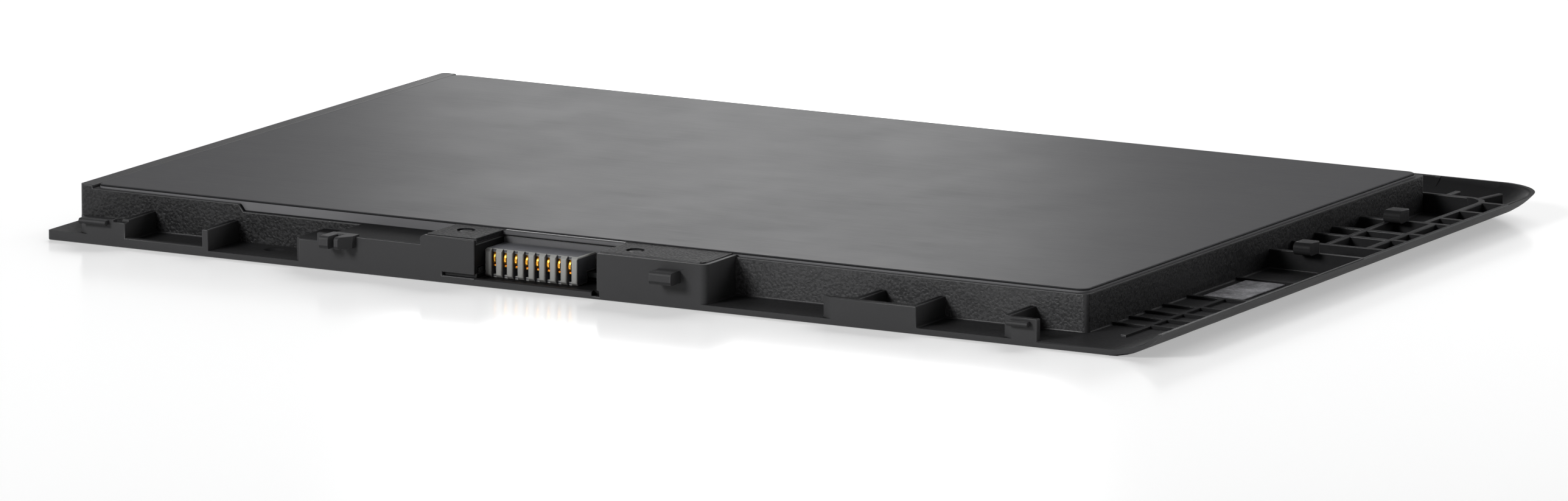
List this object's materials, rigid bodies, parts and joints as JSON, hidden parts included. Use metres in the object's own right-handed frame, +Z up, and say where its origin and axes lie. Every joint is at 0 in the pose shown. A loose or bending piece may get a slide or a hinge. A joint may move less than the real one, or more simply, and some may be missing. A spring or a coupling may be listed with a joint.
{
  "type": "notebook battery pack",
  "caption": "Thin flat battery pack for a notebook computer: moulded tray with a turned-up edge, folded sheet lid, latch tabs and a blade connector over pouch cells and their board.",
  "frame": {"origin": "on the underside, below the middle of the whole pack's bounding box", "axes": "+X along the connector edge towards the turned-up side, +Y from the connector edge to the back, +Z up through the lid"},
  "size_m": [0.2056, 0.145, 0.0078],
  "materials": {
    "tray_plastic": "fine satin grain",
    "lid_sheet": "satin",
    "cap_plastic": "coarse grain",
    "connector_plastic": "satin",
    "contact_gilt": "polished",
    "pad_foam": "matt",
    "board_laminate": "gloss",
    "chip_epoxy": "matt",
    "component_ceramic": "matt",
    "cell_foil": "satin",
    "nickel_strip": "brushed",
    "aluminium_strip": "satin",
    "tape_film": "satin",
    "insulating_paper": "matt"
  },
  "bodies": {
    "root": {"base_tray": "tray_plastic", "cover_plate": "lid_sheet", "bay_cover": "cap_plastic", "connector_housing": "connector_plastic", "connector_contacts": "contact_gilt", "side_pad": "pad_foam", "circuit_board": "board_laminate", "gauge_chip": "chip_epoxy", "protector_chip": "chip_epoxy", "power_transistors": "chip_epoxy", "sense_resistor": "component_ceramic", "safety_fuse": "component_ceramic", "ceramic_capacitors": "component_ceramic", "cell_1": "cell_foil", "cell_2": "cell_foil", "cell_3": "cell_foil", "cell_4": "cell_foil", "cell_tabs_negative": "nickel_strip", "cell_tabs_positive": "aluminium_strip", "series_links": "nickel_strip", "lead_negative": "nickel_strip", "lead_positive": "nickel_strip", "sense_leads": "nickel_strip", "cell_tapes": "tape_film", "lid_foams": "pad_foam", "tab_insulator": "insulating_paper"}
  },
  "joints": []
}
